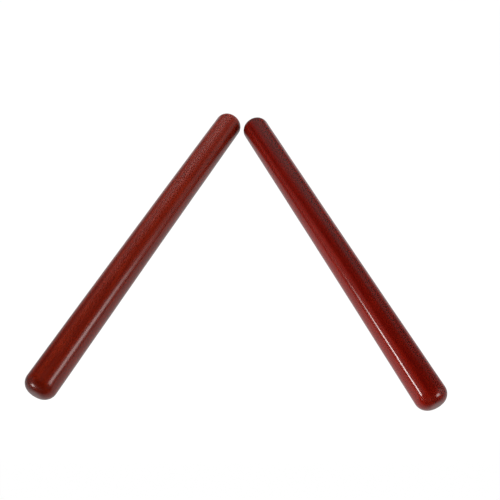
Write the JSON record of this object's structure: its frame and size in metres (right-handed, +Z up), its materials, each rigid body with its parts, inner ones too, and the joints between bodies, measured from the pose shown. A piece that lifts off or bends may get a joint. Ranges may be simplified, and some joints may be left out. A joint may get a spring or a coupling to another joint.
{
  "type": "claves",
  "caption": "Pair of loose, solid turned hardwood sticks with rounded ends, struck together as a hand percussion instrument.",
  "frame": {"origin": "bottom centre of the pair's bounding box, on the plane that both sticks lie on", "axes": "+Z up; the sticks lie flat and splay like a V, close together at +Y and wide apart at -Y; the held clave is on the -X side and the striking clave on the +X side"},
  "size_m": [0.2384, 0.2406, 0.0196],
  "materials": {
    "held_clave_wood": "red-brown stained hardwood, satin to gloss lacquer, fine lengthwise grain",
    "striking_clave_wood": "deep red stained hardwood, gloss lacquer, fine lengthwise grain"
  },
  "bodies": {
    "held_clave": {"held_clave": "held_clave_wood"},
    "striking_clave": {"striking_clave": "striking_clave_wood"}
  },
  "joints": [
    {"name": "striking_clave_lift", "type": "slide", "parent": "held_clave", "child": "striking_clave", "axis": [0, 0, 1], "range_m": [0, 0.3]}
  ]
}
